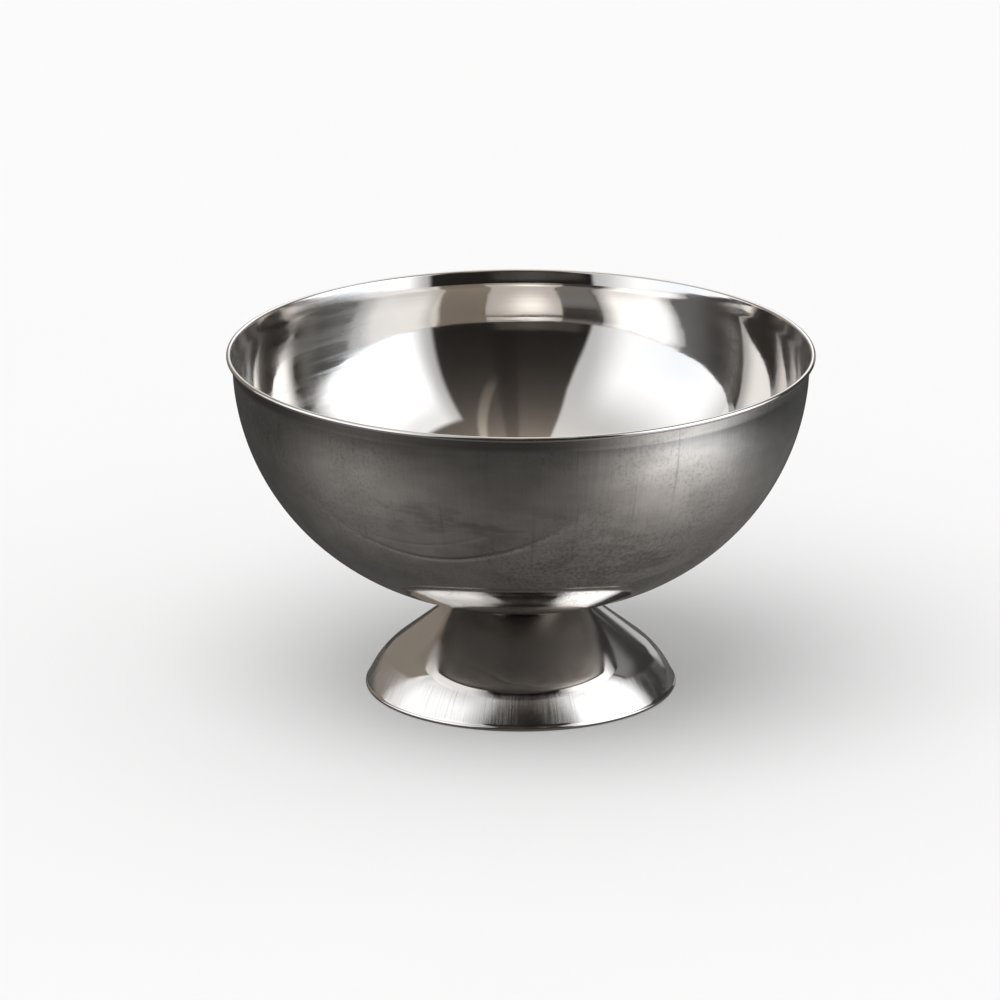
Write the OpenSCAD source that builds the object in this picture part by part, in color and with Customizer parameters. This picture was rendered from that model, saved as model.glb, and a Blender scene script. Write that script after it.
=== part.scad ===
// Footed punch bowl: a deep bowl drawn from one sheet, standing on a pressed foot.
// The foot hangs from a stud under the bowl and is clamped by a washer and a nut.
// Millimetres. The resting face is z = 0 and the bowl's axis is Z.

/* [Bowl] */
// Overall diameter, across the rolled rim
rim_d = 380; // [300:1:470]
// Overall height, from the resting face to the top of the rim
overall_h = 225; // [180:1:280]
// Thickness of the bowl's sheet
bowl_t = 0.9; // [0.7:0.05:1.4]
// Lean of the upper wall away from vertical, in degrees
wall_lean = 1.7; // [0:0.1:8]

/* [Rim] */
// Height of the flared lip, from its crease to the top of the roll
lip_h = 10; // [6:0.5:16]
// Lean of the flared lip away from vertical, in degrees
lip_lean = 10; // [8.5:0.5:25]
// Outside diameter of the rolled rim
rim_roll_d = 3.4; // [3:0.1:5]

/* [Foot] */
// Diameter across the foot's edge, which is a bead rolled under
foot_d = 202; // [165:1:250]
// Height of the foot, from the resting face to the seat under the bowl
foot_h = 63.4; // [50:0.2:78]
// Thickness of the foot's sheet
foot_t = 0.8; // [0.6:0.05:1.2]
// Radius of the shoulder where the flat crown turns down
crown_r = 23.5; // [15:0.5:30]
// Radius of the bulge above the foot's edge
brim_r = 62; // [48:1:76]
// Steepness of the foot's side where it meets the roll, in degrees
brim_slope = 67; // [58:1:74]
// How far up the roll the foot's side meets it, in degrees above level
brim_meet = 62; // [45:1:75]
// Outside diameter of the rolled edge
foot_roll_d = 3.2; // [2.7:0.1:4.6]
// Width of the flat that the rolled edge rests on
rest_land_w = 1.2; // [0.8:0.1:1.6]

/* [Seat and clamp] */
// Diameter of the flat seat where bowl and foot meet
seat_d = 55.4; // [46:0.2:68]
// Thread diameter of the stud and the nut
stud_d = 6; // [5:1:8]
// Diameter of the stud's welded collar
collar_d = 9; // [8.5:0.5:12]
// Thickness of the stud's welded collar
collar_t = 0.6; // [0.4:0.1:0.6]
// Radial gap around the collar in the foot's crown hole
crown_hole_gap = 1.5; // [0.5:0.1:3]
// Outside diameter of the broad washer
washer_d = 30; // [26:1:40]
// Thickness of the broad washer
washer_t = 1.5; // [1.2:0.1:2.5]
// Thickness of the spring washer
spring_t = 1.6; // [1.2:0.1:2]
// Width of the spring washer's steel, measured along the radius
spring_w = 2.5; // [2:0.1:3]
// Width of the slit in the spring washer
spring_slit = 1.2; // [0.8:0.1:2]
// Width of the nut across its flats
nut_af = 10; // [10:0.5:13]
// Height of the nut
nut_h = 5; // [4:0.1:6.5]
// Length of stud that shows below the nut
stud_end = 2.5; // [1:0.5:5]
// Radial gap between the stud and both washers
washer_gap = 0.2; // [0.1:0.05:0.5]
// Radial gap between the stud and the nut
thread_gap = 0.03; // [0.02:0.01:0.1]

/* [Hidden] */
$fn = 96;

seat_r = seat_d / 2;
rim_roll_r = rim_roll_d / 2;
foot_roll_r = foot_roll_d / 2;

// Heights of the clamp, from the seat down
crown_under_z = foot_h - foot_t;
washer_z = crown_under_z - washer_t;
spring_z = washer_z - spring_t;
nut_z = spring_z - nut_h;
stud_z = nut_z - stud_end;

// Unit vector at an angle, and points along an arc about a centre
function unit(a) = [cos(a), sin(a)];
function arc(c, r, a0, a1, n) = [for (i = [0:n]) c + r * unit(a0 + (a1 - a0) * i / n)];
function reversed(pts) = [for (i = [len(pts) - 1:-1:0]) pts[i]];

// The rim's roll: its centre, and where it leaves the lip and ends under itself
rim_c = [rim_d / 2 - rim_roll_r, overall_h - rim_roll_r];
rim_a0 = 180 - lip_lean;
rim_a1 = -110;

// The crease, where the lip's inside face meets the wall's inside face
lip_foot = rim_c + rim_roll_r * unit(rim_a0);
crease_z = overall_h - lip_h;
crease = [lip_foot.x - (lip_foot.y - crease_z) * tan(lip_lean), crease_z];
crease_a = (lip_lean + wall_lean) / 2;
crease_out = crease + bowl_t / cos(lip_lean / 2 - wall_lean / 2) * unit(-crease_a);

// The body's outside is a quarter ellipse from the seat to the crease, leaned outwards
lean = tan(wall_lean);
body_h = crease_z - bowl_t * sin(wall_lean) - foot_h;
body_w = crease.x + bowl_t * cos(wall_lean) - seat_r - body_h * lean;
body_n = 48;
function body_out(a) = let (z = body_h * (1 - cos(a)))
    [seat_r + body_w * sin(a) + z * lean, foot_h + z];
function body_in(a) = let (
        d = [body_w * cos(a) + body_h * sin(a) * lean, body_h * sin(a)])
    body_out(a) + bowl_t / norm(d) * [-d.y, d.x];

// The foot's bead, which turns under, the bulge that runs down onto it, and the shoulder
foot_c = [foot_d / 2 - foot_roll_r, sqrt(pow(foot_roll_r, 2) - pow(rest_land_w / 2, 2))];
brim_foot = foot_c + foot_roll_r * unit(brim_meet);
brim_c = brim_foot - brim_r * unit(90 - brim_slope);
crown_c = [seat_r, foot_h - crown_r];
// Slope of the straight side that touches both curves
crown_brim = brim_c - crown_c;
side_slope = atan2(crown_brim.x, crown_brim.y) - acos((crown_r - brim_r) / norm(crown_brim));
foot_a1 = brim_meet - 282;
foot_a2 = brim_meet + 20;

// A foot's face: shoulder and bulge, at a distance inside the outer face
function foot_face(inset) = concat(
    arc(crown_c, crown_r - inset, 90, 90 - side_slope, 12),
    arc(brim_c, brim_r - inset, 90 - side_slope, 90 - brim_slope, 12));

module bowl_shell() {
    outside = [for (i = [0:body_n - 1]) body_out(90 * i / body_n)];
    inside = [for (i = [0:body_n - 1]) body_in(90 * i / body_n)];
    color([0.50, 0.50, 0.49])
        rotate_extrude()
            polygon(concat(
                [[0, foot_h]], outside, [crease_out],
                arc(rim_c, rim_roll_r - bowl_t, rim_a0, rim_a1, 20),
                arc(rim_c, rim_roll_r, rim_a1, rim_a0, 28),
                [crease], reversed(inside), [[0, foot_h + bowl_t]]));
}

module foot() {
    hole_r = collar_d / 2 + crown_hole_gap;
    color([0.74, 0.73, 0.70])
        difference() {
            rotate_extrude()
                polygon(concat(
                    [[hole_r, foot_h]], foot_face(0),
                    arc(foot_c, foot_roll_r, brim_meet, foot_a1, 28),
                    arc(foot_c, foot_roll_r - foot_t, foot_a1, foot_a2, 20),
                    reversed(foot_face(foot_t)), [[hole_r, crown_under_z]]));
            // the flat that it rests on
            translate([0, 0, -foot_roll_d]) cylinder(h = foot_roll_d, d = foot_d + 2);
        }
}

module weld_stud() {
    color([0.62, 0.62, 0.60]) {
        translate([0, 0, foot_h - collar_t]) cylinder(h = collar_t, d = collar_d);
        translate([0, 0, stud_z + stud_d / 10])
            cylinder(h = foot_h - collar_t / 2 - stud_z - stud_d / 10, d = stud_d);
        translate([0, 0, stud_z]) cylinder(h = stud_d / 10, d1 = stud_d * 0.8, d2 = stud_d);
    }
}

// A flat ring around the stud, from z upwards
module ring(z, h, outer_d, inner_d) {
    translate([0, 0, z])
        difference() {
            cylinder(h = h, d = outer_d);
            translate([0, 0, -1]) cylinder(h = h + 2, d = inner_d);
        }
}

module broad_washer() {
    color([0.68, 0.68, 0.66]) ring(washer_z, washer_t, washer_d, stud_d + 2 * washer_gap);
}

module spring_washer() {
    bore_d = stud_d + 2 * washer_gap;
    outer_d = bore_d + 2 * spring_w;
    color([0.58, 0.58, 0.57])
        difference() {
            ring(spring_z, spring_t, outer_d, bore_d);
            // the slanted slit
            translate([outer_d / 2, 0, spring_z + spring_t / 2])
                rotate([20, 0, 0]) cube([outer_d, spring_slit, spring_t * 3], center = true);
        }
}

module hex_nut() {
    corner_d = nut_af / cos(30);
    color([0.70, 0.70, 0.68])
        intersection() {
            difference() {
                translate([0, 0, nut_z]) cylinder(h = nut_h, d = corner_d, $fn = 6);
                translate([0, 0, nut_z - 1])
                    cylinder(h = nut_h + 2, d = stud_d + 2 * thread_gap);
            }
            // chamfered corners, above and below
            union() {
                translate([0, 0, nut_z]) cylinder(h = nut_h / 2, d1 = nut_af, d2 = nut_af + nut_h);
                translate([0, 0, nut_z + nut_h / 2])
                    cylinder(h = nut_h / 2, d1 = nut_af + nut_h, d2 = nut_af);
            }
        }
}

bowl_shell();
foot();
weld_stud();
broad_washer();
spring_washer();
hex_nut();
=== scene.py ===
"""Footed punch bowl in polished steel, in a small studio.

Metres, with the resting face at z = 0 and the bowl's axis along Z.
"""
from math import acos, atan2, cos, hypot, pi, radians, sin, sqrt, tan

import bpy
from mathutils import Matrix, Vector


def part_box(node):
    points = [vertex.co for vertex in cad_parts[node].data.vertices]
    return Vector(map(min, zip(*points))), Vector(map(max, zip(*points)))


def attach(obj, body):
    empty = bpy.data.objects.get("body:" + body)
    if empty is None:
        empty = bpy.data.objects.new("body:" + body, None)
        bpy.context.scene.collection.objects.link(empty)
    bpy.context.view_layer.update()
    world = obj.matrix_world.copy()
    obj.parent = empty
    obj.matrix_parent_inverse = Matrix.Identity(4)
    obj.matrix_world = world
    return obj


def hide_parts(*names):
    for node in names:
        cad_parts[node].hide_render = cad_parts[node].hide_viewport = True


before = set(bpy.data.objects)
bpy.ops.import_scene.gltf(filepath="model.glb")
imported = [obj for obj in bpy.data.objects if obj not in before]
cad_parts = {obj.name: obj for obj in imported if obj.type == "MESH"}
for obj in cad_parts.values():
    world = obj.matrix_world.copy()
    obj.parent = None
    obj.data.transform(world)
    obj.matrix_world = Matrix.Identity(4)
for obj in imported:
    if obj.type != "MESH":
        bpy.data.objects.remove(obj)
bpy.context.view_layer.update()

MM = 0.001

# ---------------------------------------------------------------- sizes

# Overall sizes come from the frame; the rest are the maker's sizes for the two pressings.
rim_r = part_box("bowl_shell")[1].x
top_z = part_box("bowl_shell")[1].z
seat_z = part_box("bowl_shell")[0].z
foot_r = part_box("foot")[1].x

seat_r = 27.7 * MM            # the flat seat where bowl and foot meet
bowl_t = 0.9 * MM             # the bowl's sheet
foot_t = 0.8 * MM             # the foot's sheet
wall_lean = radians(1.7)      # of the upper wall away from vertical
lip_lean = radians(10)        # of the flared lip away from vertical
lip_h = 10 * MM               # from the crease to the top of the roll
rim_roll_r = 1.7 * MM         # outside of the rolled rim
rim_roll_end = radians(-110)  # where the rim's roll stops, from level
crown_r = 23.5 * MM           # the shoulder where the foot's flat crown turns down
crown_hole_r = 6 * MM         # round the stud's collar
brim_r = 62 * MM              # the bulge above the foot's edge
brim_slope = radians(67)      # of the foot's side where it meets the bead
brim_meet = radians(62)       # how far up the bead the side meets it
foot_roll_r = 1.6 * MM        # outside of the bead
foot_roll_turn = radians(282) # how far the bead is rolled under
foot_roll_tuck = radians(20)  # how far the bead's inner face runs on past the side
rest_land_w = 1.2 * MM        # the flat that the bead rests on
collar_t = 0.6 * MM           # the stud's welded collar
shank_r = 3 * MM              # outside of the stud's thread
thread_pitch = 1 * MM
thread_depth = 0.55 * MM
inset = 0.06 * MM             # keeps the fine meshes just inside the CAD box
TURNS = 360                   # steps round the axis


# ---------------------------------------------------------------- outlines, as (radius, height)

def polar(centre, radius, angle):
    return (centre[0] + radius * cos(angle), centre[1] + radius * sin(angle))


def arc(centre, radius, start, end, steps):
    return [polar(centre, radius, start + (end - start) * i / steps) for i in range(steps + 1)]


def bend(start, corner, end, steps):
    """A soft corner: a curve from start to end that is pulled towards corner."""
    points = []
    for i in range(steps + 1):
        u = i / steps
        points.append(tuple((1 - u) ** 2 * a + 2 * u * (1 - u) * b + u * u * c
                            for a, b, c in zip(start, corner, end)))
    return points


def between(a, b, share):
    return tuple(p + (q - p) * share for p, q in zip(a, b))


def bowl_outline():
    """The bowl's sheet, once round: underside, roll and inside, as a list of named stretches."""
    roll = (rim_r - rim_roll_r - inset, top_z - rim_roll_r - inset)
    leave = pi - lip_lean
    lip_foot = polar(roll, rim_roll_r, leave)
    crease_z = top_z - lip_h
    crease = (lip_foot[0] - (lip_foot[1] - crease_z) * tan(lip_lean), crease_z)
    half = (lip_lean + wall_lean) / 2
    crease_out = polar(crease, bowl_t / cos((lip_lean - wall_lean) / 2), -half)

    body_h = crease_z - bowl_t * sin(wall_lean) - seat_z
    body_w = crease[0] + bowl_t * cos(wall_lean) - seat_r - body_h * tan(wall_lean)

    def wall(angle, depth):
        rise = body_h * (1 - cos(angle))
        run = seat_r + body_w * sin(angle) + rise * tan(wall_lean)
        dr = body_w * cos(angle) + body_h * sin(angle) * tan(wall_lean)
        dz = body_h * sin(angle)
        size = hypot(dr, dz)
        return (run - depth * dz / size, seat_z + rise + depth * dr / size)

    steps = 140
    outside = [wall(pi / 2 * i / steps, 0) for i in range(steps)]
    inside = [wall(pi / 2 * i / steps, bowl_t) for i in range(steps)]
    lip_in, lip_out = lip_foot, polar(roll, rim_roll_r - bowl_t, leave)
    soft_in = bend(inside[-1], crease, between(crease, lip_in, 0.2), 8)
    soft_out = bend(outside[-1], crease_out, between(crease_out, lip_out, 0.2), 8)
    return [
        ("outside", [(0, seat_z), (seat_r * 0.5, seat_z)] + outside[:-1] + soft_out + [lip_out]),
        ("polished", arc(roll, rim_roll_r - bowl_t, leave, rim_roll_end, 24)),
        ("polished", arc(roll, rim_roll_r, rim_roll_end, leave, 40)),
        ("inside", soft_in[::-1] + inside[:-1][::-1]
         + [(seat_r * 0.5, seat_z + bowl_t), (0, seat_z + bowl_t)]),
    ]


def foot_outline():
    """The foot's sheet, once round: its show face, the bead at its edge, and its hidden face."""
    land_z = sqrt(foot_roll_r ** 2 - (rest_land_w / 2) ** 2)
    bead = (foot_r - foot_roll_r - inset, land_z)
    leave = pi / 2 - brim_slope
    brim = polar(polar(bead, foot_roll_r, brim_meet), -brim_r, leave)
    crown = (seat_r, seat_z - crown_r)
    across, down = brim[0] - crown[0], brim[1] - crown[1]
    slope = atan2(across, down) - acos((crown_r - brim_r) / hypot(across, down))

    def face(depth):
        shoulder = arc(crown, crown_r - depth, pi / 2, pi / 2 - slope, 20)
        bulge = arc(brim, brim_r - depth, pi / 2 - slope, leave, 40)
        side = [between(shoulder[-1], bulge[0], i / 24) for i in range(1, 24)]
        return shoulder + side + bulge

    curl_end = brim_meet - foot_roll_turn
    flat = [(r, max(z, 0.0)) for r, z in arc(bead, foot_roll_r, brim_meet, curl_end, 60)]
    show = [(r, z - inset) for r, z in face(0)[:-1]]
    crease = bend(show[-1], flat[0], flat[2], 6)
    return [
        ("show", [(crown_hole_r, seat_z - inset)] + show[:-1] + crease),
        ("show", flat[3:]),
        ("hidden", arc(bead, foot_roll_r - foot_t, curl_end, brim_meet + foot_roll_tuck, 24)),
        ("hidden", face(foot_t)[::-1] + [(crown_hole_r, seat_z - foot_t)]),
    ]


# ---------------------------------------------------------------- shader maths

class Value:
    """A shader socket that Python's operators work on."""

    def __init__(self, finish, socket):
        self.finish, self.socket = finish, socket

    def __add__(self, other): return self.finish.maths("ADD", self, other)
    def __sub__(self, other): return self.finish.maths("SUBTRACT", self, other)
    def __rsub__(self, other): return self.finish.maths("SUBTRACT", other, self)
    def __mul__(self, other): return self.finish.maths("MULTIPLY", self, other)
    def __truediv__(self, other): return self.finish.maths("DIVIDE", self, other)
    def __rtruediv__(self, other): return self.finish.maths("DIVIDE", other, self)
    def __pow__(self, other): return self.finish.maths("POWER", self, other)
    def __neg__(self): return self.finish.maths("MULTIPLY", self, -1)
    __radd__, __rmul__ = __add__, __mul__


class Finish:
    """One material. Constants sit on its shader's own sockets; what varies is fed to them."""

    def __init__(self, name, **constants):
        self.material = bpy.data.materials.new(name)
        self.material.use_nodes = True
        self.tree = self.material.node_tree
        self.shader = self.tree.nodes["Principled BSDF"]
        for socket, value in constants.items():
            self.shader.inputs[socket.replace("_", " ")].default_value = value

    def node(self, kind, settings=None, inputs=None, output=0):
        """Any node: its settings first, then its sockets' values or links."""
        made = self.tree.nodes.new(kind)
        for name, value in (settings or {}).items():
            setattr(made, name, value)
        for name, value in (inputs or {}).items():
            if isinstance(value, Value):
                self.tree.links.new(value.socket, made.inputs[name])
            else:
                made.inputs[name].default_value = value
        return Value(self, made.outputs[output])

    def maths(self, operation, *values):
        return self.node("ShaderNodeMath", {"operation": operation}, dict(enumerate(values)))

    def vector_maths(self, operation, *values, output=0):
        return self.node("ShaderNodeVectorMath", {"operation": operation}, dict(enumerate(values)), output)

    def scaled(self, vector, factor):
        """A colour or a vector times one value."""
        return self.node("ShaderNodeVectorMath", {"operation": "SCALE"}, {0: vector, "Scale": factor})

    def point(self, x, y, z):
        return self.node("ShaderNodeCombineXYZ", inputs={"X": x, "Y": y, "Z": z})

    def parts(self, vector):
        outputs = self.node("ShaderNodeSeparateXYZ", inputs={"Vector": vector}).socket.node.outputs
        return [Value(self, output) for output in outputs]

    def place(self):
        """The point being shaded, in the object's frame, and its three parts."""
        point = self.node("ShaderNodeTexCoord", output="Object")
        return point, *self.parts(point)

    def radius(self, x, y):
        return self.vector_maths("LENGTH", self.point(x, y, 0.0), output="Value")

    def around(self, x, y):
        """The direction from the axis, as a unit vector."""
        return self.vector_maths("NORMALIZE", self.point(x, y, 0.0))

    def streaked(self, around, z, across, along):
        """A point for noise in streaks: upright where across is the larger, rings where along is."""
        x, y, _ = self.parts(self.scaled(around, across))
        return self.point(x, y, z * along)

    def ramp(self, value, low, high, start=0.0, end=1.0):
        """Runs smoothly from start to end as value goes from low to high."""
        return self.node("ShaderNodeMapRange", {"interpolation_type": "SMOOTHSTEP"}, {
            "Value": value, "From Min": low, "From Max": high, "To Min": start, "To Max": end})

    def band(self, value, low, high, soft):
        """1 between low and high, 0 outside them, with soft edges."""
        return (self.ramp(value, low - soft, low + soft)
                * self.ramp(value, high - soft, high + soft, 1.0, 0.0))

    def hill(self, x, y, at_x, at_y, wide, deep):
        """1 at a point, falling away smoothly over the two widths."""
        away = ((x - at_x) / wide) ** 2.0 + ((y - at_y) / deep) ** 2.0
        return self.maths("EXPONENT", away * -0.5)

    def noise(self, point, scale, detail=2.0, roughness=0.5):
        return self.node("ShaderNodeTexNoise", inputs={
            "Vector": point, "Scale": scale, "Detail": detail, "Roughness": roughness})

    def mix(self, share, first, second):
        """A colour between two colours."""
        return self.node("ShaderNodeMix", {"data_type": "RGBA"},
                         {"Factor": share, 6: first, 7: second}, output=2)

    def bump(self, height, distance, strength=1.0, over=None):
        inputs = {"Height": height, "Distance": distance, "Strength": strength}
        if over is not None:
            inputs["Normal"] = over
        return self.node("ShaderNodeBump", inputs=inputs)

    def feed(self, **sockets):
        for name, value in sockets.items():
            self.tree.links.new(value.socket, self.shader.inputs[name.replace("_", " ")])
        return self.material


def grey(level, warmth=0.0):
    """A near-neutral colour; warmth above 0 leans to beige, below 0 to blue."""
    return (level * (1 + warmth), level, level * (1 - warmth), 1.0)


def tint(warmth):
    """The same at full level, as a vector for a light's colour."""
    return grey(1.0, warmth)[:3]


# ---------------------------------------------------------------- finishes

def polished_inside():
    """Mirror-polished steel: slow ripples from drawing, a dull film on both sides, faint wiping marks."""
    f = Finish("polished_inside", Metallic=1.0, IOR=1.5, Coat_Weight=0.3, Coat_Roughness=0.5)
    point, x, y, z = f.place()
    around, radius = f.around(x, y), f.radius(x, y)
    ripple = f.noise(f.streaked(around, z, 1.6, 7.0), 1.0, 1.5, 0.45)
    flutes = f.noise(f.streaked(around, z, 7.0, 6.0), 1.0, 2.0, 0.5)
    wiping = f.noise(f.streaked(around, z, 60.0, 14.0), 1.0, 4.0, 0.6)
    rings = f.noise(f.streaked(around, z, 1.2, 150.0), 1.0, 3.0, 0.55)
    haze = f.noise(point, 14.0, 4.0, 0.6)
    upper = f.ramp(z, 0.13, 0.20)

    # a thin dull film, thicker at the left, and a patch that was wiped
    left = 0.29 * f.hill(x, y, -0.112, 0.140, 0.015, 0.05) * (0.45 + 0.9 * rings)
    right = 0.20 * f.hill(x, y, 0.106, 0.145, 0.015, 0.04)
    film = (left + right) * f.ramp(z, 0.15, 0.17)
    wiped = f.hill(x, y, -0.135, 0.125, 0.03, 0.05) * f.ramp(rings, 0.30, 0.62)

    # the ripples fade out towards the axis, where they would meet in a star
    slow = f.bump(ripple * f.ramp(radius, 0.0, 0.09), 0.0014)
    near = f.bump(0.6 * flutes * upper + 0.25 * rings * upper, 0.00014, over=slow)
    steel = f.mix(haze, grey(0.80, 0.045), grey(0.72, 0.05))
    return f.feed(
        Base_Color=f.mix(4.0 * film, steel, grey(0.78)),
        Metallic=1.0 - film,
        Roughness=0.03 + 0.03 * f.ramp(wiping, 0.45, 0.8) + 0.03 * haze + 0.14 * wiped,
        Normal=near)


def drawn_outside():
    """The bowl's outside: bright steel with the die's long lines, and dull speckled patches."""
    f = Finish("drawn_outside", Metallic=1.0, IOR=1.5, Anisotropic=0.8)
    point, x, y, z = f.place()
    around = f.around(x, y)
    coarse = f.noise(f.streaked(around, z, 22.0, 9.0), 1.0, 3.0, 0.55)
    fine = f.noise(f.streaked(around, z, 160.0, 16.0), 1.0, 4.0, 0.65)
    stripes = f.noise(f.streaked(around, z, 55.0, 10.0), 1.0, 3.0, 0.6)
    strokes = f.noise(f.point(x, y, z * 3.2), 24.0, 4.0, 0.6)
    patina = f.noise(point, 26.0, 5.0, 0.62)
    speckle = f.noise(point, 420.0, 3.0, 0.7)
    dull = f.ramp(f.noise(point, 13.0, 3.0, 0.5), 0.42, 0.62)

    # the die's lines are strongest on the upper wall
    drawn = f.ramp(z, 0.095, 0.175)
    lines = f.ramp(fine, 0.42, 0.80) * (0.15 + 0.6 * drawn)
    streaks = f.ramp(stripes, 0.58, 0.74) * drawn * f.ramp(coarse, 0.40, 0.62)

    # patches on the front, shaded being a painted shade patch, and painted shade in a band under the lip,
    # fading to the right
    front = f.ramp(y, -0.06, -0.02, 1.0, 0.0)
    smudged = front * f.hill(x, z, -0.045, 0.163, 0.060, 0.009)
    cloudy = front * f.hill(x, z, 0.070, 0.124, 0.050, 0.020)
    # painted shade: a smooth dark patch low on the left front
    shaded = front * f.hill(x, z, -0.065, 0.105, 0.045, 0.016)
    # patina and smudges, with the painted shade patch added in
    grime_and_shade = (0.45 * f.ramp(patina, 0.42, 0.75) + 0.8 * dull * f.ramp(speckle, 0.45, 0.72)
             + 1.2 * smudged * f.ramp(strokes, 0.44, 0.62) + 0.55 * shaded
             + cloudy * (0.9 * f.ramp(strokes, 0.50, 0.60) + 1.0 * f.ramp(speckle, 0.42, 0.62)))
    # painted shade under the rim's roll, strongest at the left
    shade_under_lip = f.ramp(z, top_z - 0.0125, top_z - 0.0080) * f.ramp(x, 0.02, 0.10, 1.0, 0.1)

    scratches = f.bump(fine, 0.00003, 0.5)
    slow = f.bump(coarse * drawn, 0.00012, over=scratches)
    darkening = f.maths("MINIMUM", 0.25 * lines + 0.6 * streaks + 0.65 * grime_and_shade, 1.0)
    steel = f.mix(darkening, grey(0.75, 0.045), grey(0.44, 0.05))
    return f.feed(
        Base_Color=f.mix(0.8 * shade_under_lip, steel, grey(0.25, 0.05)),
        Roughness=0.05 + 0.06 * drawn + 0.05 * lines + 0.06 * grime_and_shade + 0.05 * shade_under_lip,
        Normal=slow)


def polished_foot():
    """The foot's show face: mirror polish, rubbed low on the brim, darker round the waist's front, with
    painted shade at the neck under the bowl.
    """
    f = Finish("polished_foot", Metallic=1.0, IOR=1.5, Anisotropic=0.85)
    point, x, y, z = f.place()
    around, radius = f.around(x, y), f.radius(x, y)
    ripple = f.noise(f.streaked(around, z, 2.2, 18.0), 1.0, 1.5, 0.45)
    scratch = f.noise(f.streaked(around, z, 120.0, 26.0), 1.0, 5.0, 0.7)
    patches = f.noise(f.streaked(around, z, 5.0, 30.0), 1.0, 2.0, 0.5)
    specks = f.ramp(f.noise(point, 420.0, 2.0), 0.70, 0.76)

    brim = f.ramp(z, 0.0225, 0.0195) * f.ramp(z, 0.0035, 0.0045)
    waist = f.ramp(z, 0.0245, 0.036)
    # painted shade at the neck, under the bowl
    shade_under_bowl = f.ramp(z, 0.047, 0.056)
    rubbed = f.ramp(scratch, 0.36, 0.66) * brim * f.ramp(patches, 0.30, 0.52)
    # darker, and a little rougher, round the waist's front
    front = f.ramp(y / radius, -0.64, -0.44, 1.0, 0.0) * f.ramp(x, 0.005, 0.045, 1.0, 0.25)
    darker_front = front * f.ramp(z, 0.024, 0.034)

    slow = f.bump(ripple, 0.0004)
    fine = f.bump(scratch * brim, 0.00005, 0.55, over=slow)
    # darkening: rubbing on the brim, painted shade at the neck, and the darker front
    darkening = 0.4 * rubbed * f.ramp(scratch, 0.5, 0.75) + 0.35 * shade_under_bowl + 0.45 * darker_front
    return f.feed(
        Base_Color=f.mix(darkening, grey(0.77, 0.045), grey(0.28, 0.05)),
        Roughness=(0.04 + 0.14 * brim * patches + 0.12 * rubbed
                   + 0.05 * specks + 0.05 * waist + 0.07 * darker_front),
        Normal=fine)


def raw_sheet():
    """The foot's hidden face: sheet as it came from the press, never polished."""
    f = Finish("raw_sheet", Metallic=1.0, IOR=1.5)
    point, x, y, z = f.place()
    radius = f.radius(x, y)
    grain = f.noise(point, 900.0, 3.0, 0.6)
    stains = f.noise(point, 30.0, 5.0, 0.6)
    rings = f.noise(f.point(radius * 420.0, 0.0, z * 60.0), 1.0, 2.0)
    return f.feed(
        Base_Color=f.mix(f.ramp(stains, 0.35, 0.75), grey(0.56, 0.01), grey(0.44, 0.03)),
        Roughness=0.30 + 0.12 * stains + 0.06 * grain,
        Normal=f.bump(grain + 0.5 * rings, 0.00002, 0.7))


def turned_hardware(name, shade, turning):
    """Plain stainless fasteners: turning rings, and darker marks scattered over them."""
    f = Finish(name, Metallic=1.0, IOR=1.5)
    point, x, y, z = f.place()
    radius = f.radius(x, y)
    rings = f.noise(f.point(radius * turning, 0.0, z * turning), 1.0, 3.0, 0.6)
    marks = f.noise(point, 260.0, 4.0, 0.6)
    return f.feed(
        Base_Color=f.mix(f.ramp(marks, 0.4, 0.8), grey(shade, 0.01), grey(shade * 0.75, 0.03)),
        Roughness=0.18 + 0.16 * rings + 0.10 * marks,
        Normal=f.bump(rings, 0.00002, 0.6))


# ---------------------------------------------------------------- meshes

def revolve(name, outline, finishes):
    """Turns an outline's stretches round the axis. Each stretch takes its own finish."""
    points, kinds = [], []
    for kind, stretch in outline:
        for p in stretch:
            if not points or hypot(p[0] - points[-1][0], p[1] - points[-1][1]) > 1e-7:
                points.append(p)
                kinds.append(kind)
    open_ended = points[0][0] < 1e-9
    verts, rings = [], []
    for r, z in points:
        if r < 1e-9:
            rings.append([len(verts)] * TURNS)
            verts.append((0, 0, z))
        else:
            rings.append(list(range(len(verts), len(verts) + TURNS)))
            verts += [(r * cos(2 * pi * i / TURNS), r * sin(2 * pi * i / TURNS), z) for i in range(TURNS)]
    names = list(dict.fromkeys(kinds))
    faces, slots = [], []
    last = len(points) - 1 if open_ended else len(points)
    turns_left = sum(a[0] * b[1] - b[0] * a[1] for a, b in zip(points, points[1:] + points[:1])) > 0
    for k in range(last):
        low, high = rings[k], rings[(k + 1) % len(points)]
        for i in range(TURNS):
            j = (i + 1) % TURNS
            corners = list(dict.fromkeys((low[i], low[j], high[j], high[i])))
            faces.append(corners if turns_left else corners[::-1])
            slots.append(names.index(kinds[(k + 1) % len(points)]))
    mesh = bpy.data.meshes.new(name)
    mesh.from_pydata(verts, [], faces)
    for kind in names:
        mesh.materials.append(finishes[kind])
    mesh.polygons.foreach_set("material_index", slots)
    return finished(name, mesh)


def finished(name, mesh, sharp=35):
    """Smooth shading, with real corners kept, and the mesh in the scene."""
    mesh.validate()
    mesh.shade_smooth()
    mesh.set_sharp_from_angle(angle=radians(sharp))
    piece = bpy.data.objects.new(name, mesh)
    bpy.context.scene.collection.objects.link(piece)
    return piece


def stand_for(piece, node):
    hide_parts(node)
    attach(piece, "root")


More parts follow.
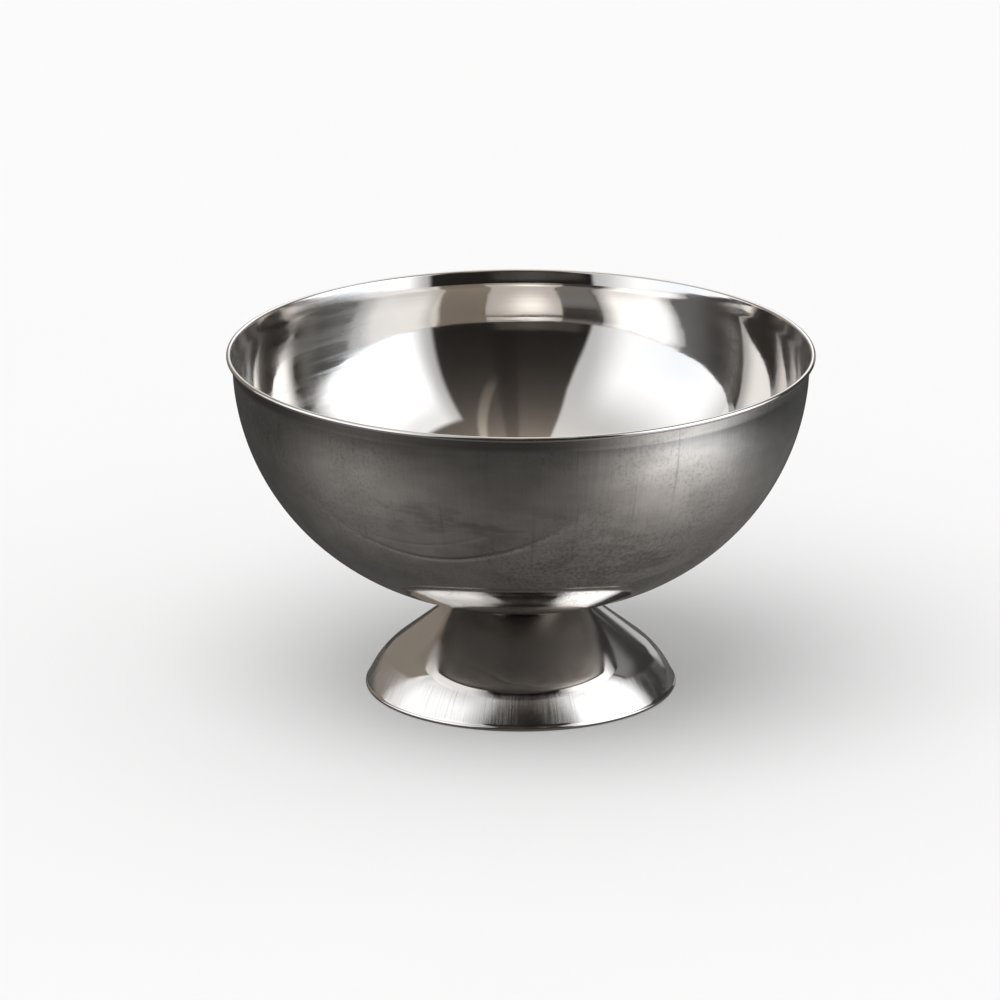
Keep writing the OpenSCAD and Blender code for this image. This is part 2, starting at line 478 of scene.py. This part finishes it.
def threaded_stud():
    """The stud: a collar, and a shank with a real helical thread inside the CAD cylinder."""
    low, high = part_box("weld_stud")
    collar_r, collar_z = high.x, high.z - collar_t
    chamfer, chamfer_h = 0.5 * MM, 0.8 * MM
    around, rows_a_turn = 48, 12
    rows = int((collar_z - low.z) / thread_pitch * rows_a_turn)
    verts, faces = [], []
    for k in range(rows + 1):
        z = low.z + (collar_z - low.z) * k / rows
        for i in range(around):
            turn = i / around
            tooth = abs(((z / thread_pitch - turn) % 1.0) * 2 - 1)
            fade = min(1.0, (z - low.z) / chamfer_h)
            r = shank_r - thread_depth * min(1.0, 1.25 * tooth) - chamfer * (1 - fade)
            verts.append((r * cos(2 * pi * turn), r * sin(2 * pi * turn), z))
    for r, z in ((collar_r, collar_z), (collar_r, high.z)):
        verts += [(r * cos(2 * pi * i / around), r * sin(2 * pi * i / around), z) for i in range(around)]
    for k in range(rows + 2):
        for i in range(around):
            j = (i + 1) % around
            faces.append((k * around + i, k * around + j, (k + 1) * around + j, (k + 1) * around + i))
    faces.append(tuple(reversed(range(around))))
    faces.append(tuple(range((rows + 2) * around, (rows + 3) * around)))
    mesh = bpy.data.meshes.new("stud_with_thread")
    mesh.from_pydata(verts, [], faces)
    mesh.materials.append(turned_hardware("thread_steel", 0.62, 900.0))
    return finished("stud_with_thread", mesh, 50)


# ---------------------------------------------------------------- studio

def glow(finish, colour):
    """Makes a finish a plain light-giving one, which no light sampling looks for."""
    emission = finish.node("ShaderNodeEmission", inputs={"Color": colour})
    finish.tree.links.new(emission.socket, finish.tree.nodes["Material Output"].inputs["Surface"])
    finish.material.cycles.emission_sampling = "NONE"
    return finish.material


def glowing_card(name, verts, faces, material):
    """A light-giving surface that only reflections see."""
    mesh = bpy.data.meshes.new(name)
    mesh.from_pydata(verts, [], faces)
    mesh.materials.append(material)
    card = finished(name, mesh)
    card.visible_camera = card.visible_diffuse = card.visible_shadow = card.visible_transmission = False
    return card


def square(half):
    """A level square's corners and its one face."""
    return [(-half, -half, 0), (half, -half, 0), (half, half, 0), (-half, half, 0)], [(0, 1, 2, 3)]


def room_light():
    """The studio as polished steel sees it: azimuth in degrees from the front, and elevation."""
    f = Finish("room_walls")
    point, *_ = f.place()
    x, y, z = f.parts(f.vector_maths("NORMALIZE", point))
    azimuth = f.maths("ARCTAN2", x, -y) * (180 / pi)
    height = f.maths("ARCSINE", z) * (180 / pi)
    turned = f.maths("MODULO", azimuth + 360.0, 360.0)

    # a dim ceiling that brightens upwards, with a darker bay and a pale beam that runs across it
    ceiling = 0.029 * f.maths("EXPONENT", (f.maths("MINIMUM", height, 66.0) - 30.0) / 15.8)
    ceiling = ceiling * (1.0 - 0.4 * f.band(azimuth, 2, 13, 2))
    beam = f.band(azimuth - 0.6 * (height - 33.0), 10, 16, 1.2) * f.ramp(height, 33, 42)
    ceiling = 0.82 * ceiling * (1.0 + 1.5 * beam) + 0.007
    shelf = 0.04 * f.band(height, 6, 10, 1.0) * f.band(azimuth, -26, 12, 3)
    window = 0.03 * f.hill(azimuth, height, -4, 8, 5, 1.6)

    # the side wall, the unlit corner, and the bright screen behind with a pale strip at its foot
    low = f.ramp(height, 11, 16, 1.0, 0.0)
    wall = 0.21 * f.maths("MAXIMUM", f.band(turned, 211, 253, 1), low * f.band(turned, 182, 230, 2))
    corner = f.band(turned, 112, 146, 2) * f.ramp(height, 18, 32, 0.03, 0.20)
    corner = corner * f.ramp(height, 34, 48, 1.0, 0.75) + 0.04 * low * f.band(turned, 146, 182, 2)
    screen = f.band(turned, 146, 210, 0.8) * (1.0 - low)
    screen = screen * (0.60 + 1.0 * f.hill(turned, height, 174, 25, 13, 11))
    screen = screen + 0.48 * f.band(turned, 148, 182, 2) * f.ramp(height, 1, 4, 1.0, 0.0)

    # the two softboxes: hot in the middle, fading to their rims
    right = f.band(turned, 38, 110, 1.5)
    right = right * f.ramp(height, 52, 55, 1.0, 0.0) * (
        0.55 + 0.45 * f.ramp(azimuth, 38, 50) + 0.9 * f.ramp(azimuth, 40, 56) * f.ramp(height, 50, 32))
    right = right * f.ramp(azimuth, 92, 112, 1.0, 0.25)
    left_edge = azimuth - 0.18 * f.maths("MINIMUM", height - 40.0, 0.0)
    left = f.band(left_edge, -110, -25, 1.2) * f.ramp(height, 66, 72, 1.0, 0.0)
    left = left * (0.62 + 0.72 * f.ramp(azimuth, -31, -52) * f.ramp(height, 56, 26))
    left = left * f.ramp(azimuth, -92, -112, 1.0, 0.55)

    colour = f.scaled(tint(0.13), ceiling + shelf + wall)
    for light, warmth in ((window, 0.05), (screen, 0.0), (right + left + corner, -0.04)):
        colour = f.vector_maths("ADD", colour, f.scaled(tint(warmth), light))

    columns, rows, size = 96, 48, 1.45
    verts = [(size * sin(pi * k / rows) * cos(2 * pi * i / columns),
              size * sin(pi * k / rows) * sin(2 * pi * i / columns),
              size * cos(pi * k / rows)) for k in range(rows + 1) for i in range(columns)]
    faces = [(k * columns + i, k * columns + (i + 1) % columns,
              (k + 1) * columns + (i + 1) % columns, (k + 1) * columns + i)
             for k in range(rows) for i in range(columns)]
    room = glowing_card("room", verts, faces, glow(f, colour))
    room.location.z = top_z - 25 * MM


def cloth_table():
    """The dark cloth that polished steel mirrors: mottled, creased, and bright under the right lamp."""
    f = Finish("table_cloth")
    point, x, y, _ = f.place()
    cloth = f.noise(point, 11.0, 6.0, 0.6)
    lint = f.noise(point, 60.0, 4.0, 0.65)
    wander = 0.014 * (f.noise(point, 5.0, 2.0) - 0.5)

    def crease(start, end, height, width):
        start, end = Vector(start), Vector(end)
        along = (end - start).normalized()
        off = (x - start.x) * along.y - (y - start.y) * along.x + wander
        down = (x - start.x) * along.x + (y - start.y) * along.y
        on = f.band(down, 0.02, (end - start).length - 0.02, 0.03)
        return on * (height * f.band(off, -width, 0.0, width / 2)
                     - 0.8 * height * f.band(off, 0.0, width, width / 2))

    level = (0.060 + 0.95 * f.hill(x, y, 0.485, -0.27, 0.165, 0.165)
             + 0.17 * f.hill(x, y, -0.37, -0.20, 0.17, 0.14)
             + 0.05 * f.hill(x, y, 0.16, -0.20, 0.12, 0.08)
             + 0.08 * f.hill(x, y, 0.26, 0.20, 0.16, 0.16))
    level = level * (0.42 + 0.82 * cloth + 0.34 * lint)
    level = level + crease((-0.33, 0.012), (0.15, -0.300), 0.09, 0.005)
    level = level + crease((-0.25, -0.05), (-0.02, -0.25), 0.035, 0.004)
    cloth_tint = f.mix(f.ramp(x, 0.1, 0.7), grey(1.0, 0.035), grey(1.0, -0.03))
    colour = f.mix(level, grey(0.0), cloth_tint)
    table = glowing_card("cloth_table", *square(1.6), glow(f, colour))
    table.location.z = -2 * MM


def pale_floor():
    f = Finish("floor_paper", Specular_IOR_Level=0.0, Roughness=0.9)
    point, *_ = f.place()
    paper = f.noise(point, 3.0, 2.0)
    f.feed(Base_Color=f.mix(paper, grey(0.90), grey(0.88, 0.002)))
    verts, faces = square(20)
    mesh = bpy.data.meshes.new("floor")
    mesh.from_pydata(verts, [], faces)
    mesh.materials.append(f.material)
    floor = finished("floor", mesh)
    floor.visible_glossy = False


def soft_daylight():
    """A broad soft light from above and a pale surround, for the floor and the contact shadow."""
    light = bpy.data.lights.new("soft_key", "SUN")
    light.energy, light.angle = 1.20, radians(60)
    lamp = bpy.data.objects.new("soft_key", light)
    lamp.rotation_euler = (radians(18), radians(-14), 0)
    lamp.visible_glossy = False
    bpy.context.scene.collection.objects.link(lamp)
    world = bpy.data.worlds.new("pale_world")
    bpy.context.scene.world = world
    world.use_nodes = True
    world.node_tree.nodes["Background"].inputs["Color"].default_value = grey(1.0)
    world.node_tree.nodes["Background"].inputs["Strength"].default_value = 0.73
    world.cycles_visibility.glossy = False


def studio():
    soft_daylight()
    pale_floor()
    room_light()
    cloth_table()
    bpy.context.scene.view_settings.view_transform = "Standard"


def camera():
    """A long lens, a little above the rim, as far off as a small studio allows."""
    elevation, distance = radians(17.68), 5.829
    aim = Vector((-13.5 * MM, 0, 124 * MM))
    back = Vector((0, -cos(elevation), sin(elevation)))
    data = bpy.data.cameras.new("camera")
    data.lens, data.sensor_width = 324, 36
    data.clip_start, data.clip_end = 0.1, 100
    shot = bpy.data.objects.new("camera", data)
    shot.location = aim + back * distance
    shot.rotation_mode = "QUATERNION"
    shot.rotation_quaternion = (-back).to_track_quat("-Z", "Y")
    bpy.context.scene.collection.objects.link(shot)
    bpy.context.scene.camera = shot


# ---------------------------------------------------------------- the object

camera()
studio()

inside = polished_inside()
bowl = revolve("bowl", bowl_outline(), {"outside": drawn_outside(), "polished": inside, "inside": inside})
stand_for(bowl, "bowl_shell")

foot = revolve("pressed_foot", foot_outline(), {"show": polished_foot(), "hidden": raw_sheet()})
stand_for(foot, "foot")

stand_for(threaded_stud(), "weld_stud")

# each fastener's shade, and how close its turning rings lie
fasteners = {"broad_washer": (0.64, 500.0), "spring_washer": (0.50, 700.0), "hex_nut": (0.66, 800.0)}
for node, (shade, turning) in fasteners.items():
    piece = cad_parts[node]
    piece.data.materials.clear()
    piece.data.materials.append(turned_hardware(node + "_steel", shade, turning))
